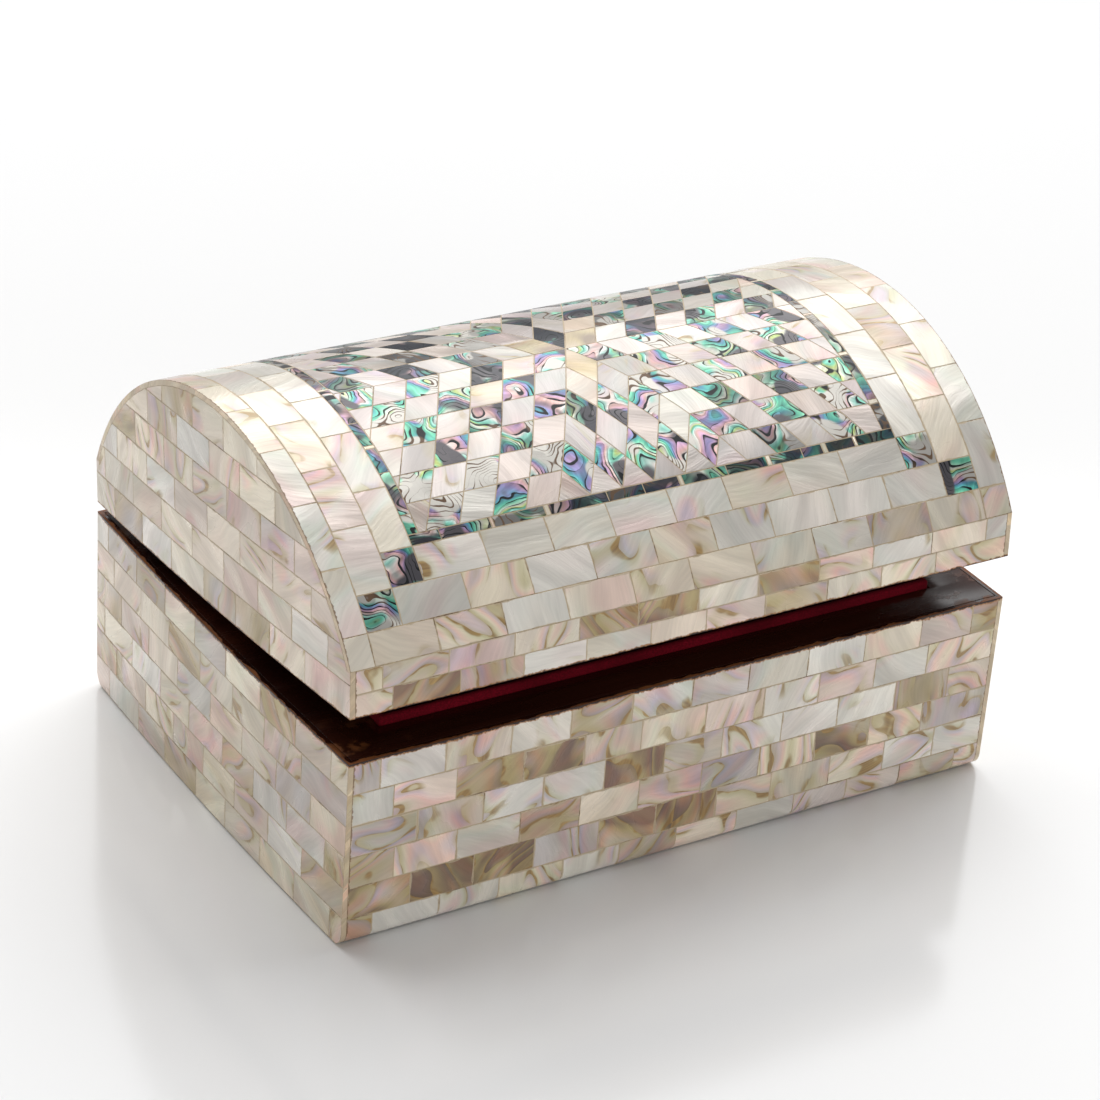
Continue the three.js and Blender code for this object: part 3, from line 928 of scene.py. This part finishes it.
# The darkest tiles of the front, by row from the top and tile from the left, with their tones
BASE_FRONT_ACCENTS = {
    (2, 4): 0.88, (3, 1): LILAC, (3, 5): 0.92, (4, 9): 0.95,
    (5, 2): 0.9, (5, 3): 0.96, (5, 5): 0.88, (5, 6): 0.93,
}
LID_FRONT_ACCENTS = {(2, 2): 1.0, (1, 6): 0.9}


def bonded_pearl(draw, u, v, edges, firsts, tones, accents):
    """The tile at a place of a long side: one of its accents, or else drawn from its tones."""
    row = next(i for i in range(len(firsts)) if edges[i + 1] < v < edges[i])
    along = u + LONG_REACH - firsts[row]
    number = 1 if along < 0 else 2 + int(along / bpy.context.scene.chest_mosaic.tile_length)
    if (row + 1, number) in accents:
        return pearl(draw, accents[row + 1, number], 1.0)
    return any_pearl(draw, tones)


def lacquer_side(slab, direction):
    """Lacquers the edge of the sheet that faces a rim."""
    mesh = bmesh.from_edit_mesh(slab.data)
    for face in mesh.faces:
        if face.normal.y * direction > 0.9:
            face.material_index = EDGE
    bmesh.update_edit_mesh(slab.data)


def cut_bond(slab, draw, edges, firsts, low_u, high_u):
    """Cuts rows between the given edges, and the joints of each row from its first piece on."""
    mosaic = bpy.context.scene.chest_mosaic
    cut_rows(slab, edges[1:-1])
    for i, first in enumerate(firsts):
        span = sorted((edges[i], edges[i + 1]))
        joints = running_joints(draw, low_u, high_u, first, mosaic.tile_length, mosaic.tile_wander)
        cut_joints(slab, joints, *span)


class CHEST_OT_carcasses(bpy.types.Operator):
    """Lacquered wooden box and lid, their edges rounded by wear"""

    bl_idname = "chest.carcasses"
    bl_label = "Wooden Box and Lid"

    def execute(self, context):
        for body in ("base", "lid"):
            node = body + "_carcass"
            piece = rounded_copy(node, body + "_wood", 0.45 * MM, 2)
            hand_over(piece, body, [node], ["lacquer"])
        return {"FINISHED"}


class CHEST_OT_base_long_mosaics(bpy.types.Operator):
    """Six rows of tiles on the front and on the back of the base, curling under at the foot"""

    bl_idname = "chest.base_long_mosaics"
    bl_label = "Base Front and Back Tiles"

    def execute(self, context):
        round_reach = FOOT_ROUND * math.asin((FOOT_ROUND - SHELL_FOOT) / FOOT_ROUND)
        foot = -(RIM - FOOT_ROUND) - round_reach
        firsts = [first * MM for first in (8.4, 13.2, 21.5, 13.6, 20, 8.4)]
        edges = [foot * i / len(firsts) for i in range(len(firsts) + 1)]
        curl = [-(RIM - FOOT_ROUND) - round_reach * i / 4 for i in range(4)]
        for name, side, seed, accents in (("front", -1, 11, BASE_FRONT_ACCENTS), ("back", 1, 12, {})):
            draw = random.Random(seed)
            slab = start_slab("base_" + name + "_tiles", -LONG_REACH, LONG_REACH, foot, 0)
            cut_bond(slab, draw, edges, firsts, -LONG_REACH, LONG_REACH)
            set_tiles(slab, draw, lambda u, v: bonded_pearl(draw, u, v, edges, firsts, BASE_TONES, accents))
            lacquer_side(slab, 1)
            lay(slab, on_base_long_side(side), 0, along=curl)
            hand_over(slab, "base", ["base_" + name + "_mosaic"], MOSAIC_FINISHES)
        return {"FINISHED"}


class CHEST_OT_base_end_mosaics(bpy.types.Operator):
    """Six rows of tiles on each bowed end of the base"""

    bl_idname = "chest.base_end_mosaics"
    bl_label = "Base End Tiles"

    def execute(self, context):
        firsts = [first * MM for first in (9, 13, 19, 7, 16, 11)]
        edges = [RIM + (SHELL_FOOT - RIM) * i / len(firsts) for i in range(len(firsts) + 1)]
        for name, side, seed in (("left", -1, 21), ("right", 1, 22)):
            draw = random.Random(seed)
            slab = start_slab("base_" + name + "_tiles", -HALF_DEPTH, HALF_DEPTH, 0, RIM)
            self.round_lower_corners(slab)
            cut_bond(slab, draw, edges, firsts, -HALF_DEPTH, HALF_DEPTH)
            set_tiles(slab, draw, lambda u, v: any_pearl(draw, END_TONES))
            lacquer_side(slab, 1)
            lay(slab, on_end(side), RIM, across=steps(-HALF_DEPTH, HALF_DEPTH, 12), dirty_ends=False)
            hand_over(slab, "base", ["base_" + name + "_mosaic"], MOSAIC_FINISHES)
        return {"FINISHED"}

    @staticmethod
    def round_lower_corners(slab):
        bpy.ops.mesh.select_all(action="DESELECT")
        bpy.context.tool_settings.mesh_select_mode = (False, True, False)
        mesh = bmesh.from_edit_mesh(slab.data)
        for edge in mesh.edges:
            upright = abs(edge.verts[0].co.z - edge.verts[1].co.z) > SHELL / 2
            if upright and edge.verts[0].co.y < MM:
                edge.select_set(True)
        bmesh.update_edit_mesh(slab.data)
        bpy.ops.mesh.bevel(offset=FOOT_ROUND, segments=6, affect="EDGES")
        bpy.context.tool_settings.mesh_select_mode = (False, False, True)
        cut(slab, (0, SHELL_FOOT), (0, 1), everything, clear_inner=True, use_fill=True)


class CHEST_OT_lid_long_mosaics(bpy.types.Operator):
    """Two rows of tiles on the short front and back walls of the lid"""

    bl_idname = "chest.lid_long_mosaics"
    bl_label = "Lid Front and Back Tiles"

    def execute(self, context):
        top = CREASE - TOUCH
        edges = [top, (top + LID_FOOT) / 2, LID_FOOT]
        firsts = (9 * MM, 12 * MM)
        for name, side, seed, accents in (("front", -1, 31, LID_FRONT_ACCENTS), ("back", 1, 32, {})):
            draw = random.Random(seed)
            slab = start_slab("lid_" + name + "_tiles", -LONG_REACH, LONG_REACH, LID_FOOT, top)
            cut_bond(slab, draw, edges, firsts, -LONG_REACH, LONG_REACH)
            set_tiles(slab, draw, lambda u, v: bonded_pearl(draw, u, v, edges, firsts, LID_TONES, accents))
            lacquer_side(slab, -1)
            lay(slab, on_lid_long_side(side), LID_FOOT - 0.4 * MM)
            raise_with_lid(slab)
            hand_over(slab, "lid", ["lid_" + name + "_mosaic"], MOSAIC_FINISHES)
        return {"FINISHED"}


class CHEST_OT_lid_end_mosaics(bpy.types.Operator):
    """Rows of tiles on each arched and bowed end of the lid"""

    bl_idname = "chest.lid_end_mosaics"
    bl_label = "Lid End Tiles"

    def execute(self, context):
        row = 10.1 * MM
        edges = [LID_FOOT + row * i for i in range(7)]
        firsts = [first * MM for first in (14, 7, 17, 9, 18, 8)]
        for name, side, seed in (("left", -1, 41), ("right", 1, 42)):
            draw = random.Random(seed)
            slab = self.arched_slab("lid_" + name + "_tiles")
            cut_bond(slab, draw, edges, firsts, -HALF_DEPTH, HALF_DEPTH)
            set_tiles(slab, draw, lambda u, v: any_pearl(draw, END_TONES))
            lacquer_side(slab, -1)
            bends = steps(-HALF_DEPTH, HALF_DEPTH, 12)
            lay(slab, on_end(side), LID_FOOT - 0.4 * MM, across=bends, dirty_ends=False)
            raise_with_lid(slab)
            hand_over(slab, "lid", ["lid_" + name + "_mosaic"], MOSAIC_FINISHES)
        return {"FINISHED"}

    @staticmethod
    def arched_slab(name):
        """A flat sheet with upright sides, a small shoulder and an arched top."""
        deselect_all()
        shoulder = CREASE - TOUCH
        radius = DOME_RADIUS - SHELL - TOUCH
        half = math.sqrt(radius**2 - (shoulder - DOME_CENTRE) ** 2)
        bpy.ops.mesh.primitive_circle_add(
            vertices=160, radius=radius, fill_type="NGON", location=(0, DOME_CENTRE, 0)
        )
        slab = bpy.context.active_object
        bpy.ops.object.transform_apply()
        slab.name = name
        slab.data.name = name
        edit(slab)
        cut(slab, (0, shoulder), (0, 1), everything, clear_inner=True)
        bpy.ops.mesh.select_all(action="DESELECT")
        bpy.ops.mesh.primitive_plane_add(size=1, location=(0, 0, 0))
        bpy.ops.transform.resize(value=(2 * HALF_DEPTH, shoulder - LID_FOOT, 1))
        bpy.ops.transform.translate(value=(0, (shoulder + LID_FOOT) / 2, 0))
        for u in (-half, half):
            cut(slab, (u, 0), (1, 0), lambda face: face.calc_center_bounds().y < shoulder)
        bpy.ops.mesh.select_all(action="SELECT")
        bpy.ops.mesh.remove_doubles(threshold=0.08 * MM)
        bpy.ops.mesh.dissolve_limited(angle_limit=math.radians(0.1))
        bpy.ops.mesh.select_all(action="SELECT")
        bpy.ops.mesh.extrude_region_move(TRANSFORM_OT_translate={"value": (0, 0, -SHELL)})
        bpy.ops.mesh.select_all(action="SELECT")
        bpy.ops.mesh.normals_make_consistent(inside=False)
        return slab


# The dome's border rings from outside in: left column, right column, front row, back row
BORDER_RINGS = (
    (7.5 * MM, 9.6 * MM, 9.05 * MM, 10.2 * MM),
    (10.6 * MM, 11.4 * MM, 10.2 * MM, 10.2 * MM),
    (9.7 * MM, 10.9 * MM, 10.05 * MM, 10.2 * MM),
)
BACK_ROWS = (10.3 * MM, 10.3 * MM)


class Patch:
    """A rectangle of the flat dome sheet."""

    def __init__(self, low_u, high_u, low_v, high_v):
        self.low_u = low_u
        self.high_u = high_u
        self.low_v = low_v
        self.high_v = high_v

    def holds(self, u, v):
        return self.low_u < u < self.high_u and self.low_v < v < self.high_v

    def picks(self):
        return within(self.low_u, self.high_u, self.low_v, self.high_v)

    def without(self, left, right, front, back):
        return Patch(self.low_u + left, self.high_u - right, self.low_v + front, self.high_v - back)


class CHEST_OT_dome_mosaic(bpy.types.Operator):
    """The dome's sheet: a star of shell lozenges in an abalone strip, bordered by rows of pearl tiles"""

    bl_idname = "chest.dome_mosaic"
    bl_label = "Dome Tiles"

    def execute(self, context):
        draw = random.Random(51)
        slab = start_slab("dome_tiles", -HALF_LENGTH, HALF_LENGTH, -HALF_ARC, HALF_ARC)
        self.squares = []
        self.spacers = []
        inner = Patch(-HALF_LENGTH, HALF_LENGTH, -HALF_ARC, HALF_ARC)
        for number, ring in enumerate(BORDER_RINGS):
            inner = self.cut_ring(slab, draw, inner, ring, number)
        for height in BACK_ROWS:
            row = Patch(inner.low_u, inner.high_u, inner.high_v - height, inner.high_v)
            cut(slab, (0, row.low_v), (0, 1), inner.picks())
            self.cut_even(slab, draw, row)
            inner = inner.without(0, 0, 0, height)
        self.strip = inner
        width = context.scene.chest_star.strip
        self.panel = inner.without(width, width, width, width)
        self.cut_strip(slab, draw)
        self.cut_star(slab, context.scene.chest_star)
        set_tiles(slab, draw, lambda u, v: self.tile_at(draw, u, v))
        lay(slab, on_dome, along=steps(-HALF_ARC, HALF_ARC, 40))
        raise_with_lid(slab)
        hand_over(slab, "lid", ["lid_dome_mosaic"], MOSAIC_FINISHES)
        return {"FINISHED"}

    def cut_even(self, slab, draw, row):
        """Shares a row out in whole tiles."""
        mosaic = bpy.context.scene.chest_mosaic
        joints = even_joints(draw, row.low_u, row.high_u, mosaic.tile_length, mosaic.tile_wander)
        cut_joints(slab, joints, row.low_v, row.high_v, row.low_u, row.high_u)

    def cut_ring(self, slab, draw, outer, ring, number):
        """Cuts one border ring: a column at each side, and a row in front and behind between them."""
        inner = outer.without(*ring)
        for u in (inner.low_u, inner.high_u):
            cut(slab, (u, 0), (1, 0), outer.picks())
        between = Patch(inner.low_u, inner.high_u, outer.low_v, outer.high_v)
        for v in (inner.low_v, inner.high_v):
            cut(slab, (0, v), (0, 1), between.picks())
        self.cut_even(slab, draw, Patch(inner.low_u, inner.high_u, outer.low_v, inner.low_v))
        self.cut_even(slab, draw, Patch(inner.low_u, inner.high_u, inner.high_v, outer.high_v))
        for low_u, high_u in ((outer.low_u, inner.low_u), (inner.high_u, outer.high_u)):
            self.cut_column(slab, draw, Patch(low_u, high_u, outer.low_v, outer.high_v), inner, number)
        return inner

    def cut_column(self, slab, draw, column, inner, number):
        """Cuts a border column, which but for the outermost begins and ends with an abalone square."""
        mosaic = bpy.context.scene.chest_mosaic
        low, high = inner.low_v, inner.high_v
        places = [low, *even_joints(draw, low, high, mosaic.tile_length, mosaic.tile_wander), high]
        for v in places:
            cut(slab, (0, v), (0, 1), column.picks())
        if number > 0:
            self.squares.append(Patch(column.low_u, column.high_u, column.low_v, low))
            self.squares.append(Patch(column.low_u, column.high_u, high, column.high_v))

    def strip_places(self, draw, low, high):
        """Joints of an abalone strip, and the pale spacers between some of its pieces."""
        places, spacers = [], []
        place = low + draw.uniform(5, 11) * MM
        while place < high - 6 * MM:
            places.append(place)
            if draw.random() < 0.6:
                gap = draw.uniform(0.9, 1.6) * MM
                spacers.append((place, place + gap))
                place += gap
                places.append(place)
            place += draw.uniform(7, 19) * MM
        return places, spacers

    def cut_strip(self, slab, draw):
        """Cuts the abalone strip round the star panel into pieces."""
        strip, panel = self.strip, self.panel
        for v in (panel.low_v, panel.high_v):
            cut(slab, (0, v), (0, 1), strip.picks())
        for u in (panel.low_u, panel.high_u):
            cut(slab, (u, 0), (1, 0), Patch(strip.low_u, strip.high_u, panel.low_v, panel.high_v).picks())
        for low_v, high_v in ((strip.low_v, panel.low_v), (panel.high_v, strip.high_v)):
            places, spacers = self.strip_places(draw, strip.low_u, strip.high_u)
            cut_joints(slab, places, low_v, high_v, strip.low_u, strip.high_u)
            self.spacers += [Patch(low, high, low_v, high_v) for low, high in spacers]
        for low_u, high_u in ((strip.low_u, panel.low_u), (panel.high_u, strip.high_u)):
            places, spacers = self.strip_places(draw, panel.low_v, panel.high_v)
            side = Patch(low_u, high_u, panel.low_v, panel.high_v)
            for v in places:
                cut(slab, (0, v), (0, 1), side.picks())
            self.spacers += [Patch(low_u, high_u, low, high) for low, high in spacers]

    def cut_star(self, slab, star):
        """Cuts six fans of lozenges round the star's middle."""
        panel = self.panel
        self.middle = Vector((star.shift, (panel.low_v + panel.high_v) / 2))
        self.row = (panel.high_v - panel.low_v) / (2 * star.rows)
        rays = [Vector((math.cos(k * math.pi / 3), math.sin(k * math.pi / 3))) for k in range(7)]
        for ray in rays[:3]:
            cut(slab, self.middle, (-ray.y, ray.x), panel.picks())
        across = math.ceil((panel.high_u - panel.low_u) / self.row / 2) + 2
        for k in range(6):
            first, second = rays[k], rays[k + 1]
            inward = Vector((-first.y, first.x))
            backward = Vector((second.y, -second.x))
            for normal in (inward, backward):
                for number in range(1, across):
                    point = self.middle + normal * self.row * number
                    cut(slab, point, normal, self.fan_picks(k))

    def fan_of(self, u, v):
        """Which of the six fans a place is in, with its steps along the fan's two sides."""
        turn = math.atan2(v - self.middle.y, u - self.middle.x) % (2 * math.pi)
        fan = int(turn // (math.pi / 3)) % 6
        away = math.hypot(u - self.middle.x, v - self.middle.y)
        into = turn - fan * math.pi / 3
        return fan, int(away * math.sin(into) // self.row), int(away * math.sin(math.pi / 3 - into) // self.row)

    def fan_picks(self, fan):
        inside = self.panel.picks()

        def wanted(face):
            u, v, _ = face.calc_center_median_weighted()
            return inside(face) and self.fan_of(u, v)[0] == fan

        return wanted

    def tile_at(self, draw, u, v):
        if self.panel.holds(u, v):
            return self.star_tile(draw, u, v)
        if self.strip.holds(u, v):
            if any(spacer.holds(u, v) for spacer in self.spacers):
                return pearl(draw, IVORY, 0.0)
            return abalone(draw, draw.choice((0.05, 0.12, 0.25, 0.5)))
        if any(square.holds(u, v) for square in self.squares):
            return abalone(draw, 0.6)
        return any_pearl(draw, DOME_TONES)

    def star_tile(self, draw, u, v):
        """Abalone and pearl take turns outward from the star's middle, with gold lips at its heart; abalone behind the
        middle gets darker tones as painted shade.
        """
        fan, step, other_step = self.fan_of(u, v)
        to_side = min(u - self.panel.low_u, self.panel.high_u - u)
        if step == other_step == 0 and fan in (0, 2, 4):
            return pearl(draw, GOLD, 0.1)
        if (step + other_step) % 2 or to_side < 3.2 * MM:
            tile = any_pearl(draw, STAR_TONES)
            tile.plain = False
            return tile
        # Abalone behind the star's middle, towards the back of the dome, gets darker tones as painted shade
        behind_in_painted_shade = v > self.middle.y
        return abalone(draw, draw.choice((0.0, 0.1, 0.25, 0.6) if behind_in_painted_shade else (0.4, 0.8, 0.9, 1.0)))


class CHEST_OT_linings(bpy.types.Operator):
    """Red velvet linings of the base and of the lid, with soft edges"""

    bl_idname = "chest.linings"
    bl_label = "Velvet Linings"

    def execute(self, context):
        for body in ("base", "lid"):
            node = body + "_velvet_lining"
            piece = rounded_copy(node, body + "_velvet", 0.95 * MM, 4)
            hand_over(piece, body, [node], ["velvet"])
        return {"FINISHED"}


class CHEST_OT_hinges(bpy.types.Operator):
    """Aged brass on the two hinges and their screws"""

    bl_idname = "chest.hinges"
    bl_label = "Brass Hinges"

    def execute(self, context):
        for name, node in frame["nodes"].items():
            if "hinge" in name:
                node.data.materials.clear()
                node.data.materials.append(finish_of("brass"))
        return {"FINISHED"}


class CHEST_OT_stage(bpy.types.Operator):
    """White gloss floor, soft studio light and the camera"""

    bl_idname = "chest.stage"
    bl_label = "Floor, Light and Camera"

    def execute(self, context):
        self.make_floor()
        self.make_light()
        self.make_camera()
        return {"FINISHED"}

    @staticmethod
    def make_floor():
        deselect_all()
        bpy.ops.mesh.primitive_circle_add(vertices=96, radius=6, fill_type="NGON")
        floor = bpy.context.active_object
        floor.name = "floor"
        floor.data.materials.append(finish_of("floor"))

    @staticmethod
    def soft_light(name, power, size, place, target):
        deselect_all()
        bpy.ops.object.light_add(type="AREA", location=place)
        light = bpy.context.active_object
        light.name = name
        light.data.energy = power
        light.data.shape = "RECTANGLE"
        light.data.size, light.data.size_y = size
        light.rotation_mode = "QUATERNION"
        light.rotation_quaternion = (Vector(target) - Vector(place)).to_track_quat("-Z", "Y")

    def make_light(self):
        world = bpy.data.worlds.new("studio")
        world.use_nodes = True
        background = next(node for node in world.node_tree.nodes if node.type == "BACKGROUND")
        background.inputs["Color"].default_value = (1, 1, 1, 1)
        background.inputs["Strength"].default_value = 0.26
        bpy.context.scene.world = world
        self.soft_light("softbox", 45, (3.0, 1.9), (0.4, 0.85, 1.35), (0, 0.1, 0))
        self.soft_light("fill", 16, (2.0, 1.0), (-0.9, -2.1, 0.5), (0, 0, 0.05))
        bpy.context.scene.view_settings.view_transform = "Standard"

    @staticmethod
    def make_camera():
        stage = bpy.context.scene.chest_stage
        deselect_all()
        bpy.ops.object.camera_add()
        camera = bpy.context.active_object
        camera.name = "camera"
        level = math.cos(stage.elevation)
        back = Vector((
            math.sin(stage.azimuth) * level,
            -math.cos(stage.azimuth) * level,
            math.sin(stage.elevation),
        ))
        right = (-back).cross(Vector((0, 0, 1))).normalized()
        down = (-back).cross(right)
        tipped_right = math.cos(stage.roll) * right + math.sin(stage.roll) * down
        tipped_down = math.cos(stage.roll) * down - math.sin(stage.roll) * right
        turned = Matrix((tipped_right, -tipped_down, back)).transposed()
        camera.matrix_world = Matrix.Translation(Vector(stage.target) + back * stage.distance) @ turned.to_4x4()
        camera.data.lens = stage.lens
        camera.data.sensor_width = 36
        camera.data.clip_end = 20
        bpy.context.scene.camera = camera


class CHEST_PT_panel(bpy.types.Panel):
    """Lists the chest's pieces and sizes"""

    bl_idname = "CHEST_PT_panel"
    bl_label = "Domed Shell Chest"
    bl_space_type = "VIEW_3D"
    bl_region_type = "UI"
    bl_category = "Chest"

    def draw(self, context):
        for key, group in SETTINGS.items():
            box = self.layout.box()
            box.label(text=group.__doc__)
            for name in group.__annotations__:
                box.prop(getattr(context.scene, key), name)
        for operator in OPERATORS:
            self.layout.operator(operator.bl_idname)


OPERATORS = (
    CHEST_OT_stage,
    CHEST_OT_carcasses,
    CHEST_OT_base_long_mosaics,
    CHEST_OT_base_end_mosaics,
    CHEST_OT_lid_long_mosaics,
    CHEST_OT_lid_end_mosaics,
    CHEST_OT_dome_mosaic,
    CHEST_OT_linings,
    CHEST_OT_hinges,
)


def register():
    for group in SETTINGS.values():
        bpy.utils.register_class(group)
    for key, group in SETTINGS.items():
        setattr(bpy.types.Scene, key, bpy.props.PointerProperty(type=group))
    for made in (*OPERATORS, CHEST_PT_panel):
        bpy.utils.register_class(made)


def unregister():
    for made in reversed((*OPERATORS, CHEST_PT_panel)):
        bpy.utils.unregister_class(made)
    for key, group in reversed(SETTINGS.items()):
        delattr(bpy.types.Scene, key)
        bpy.utils.unregister_class(group)


def main():
    register()
    for operator in OPERATORS:
        group, name = operator.bl_idname.split(".")
        getattr(getattr(bpy.ops, group), name)()
    deselect_all()


if __name__ == "__main__":
    main()
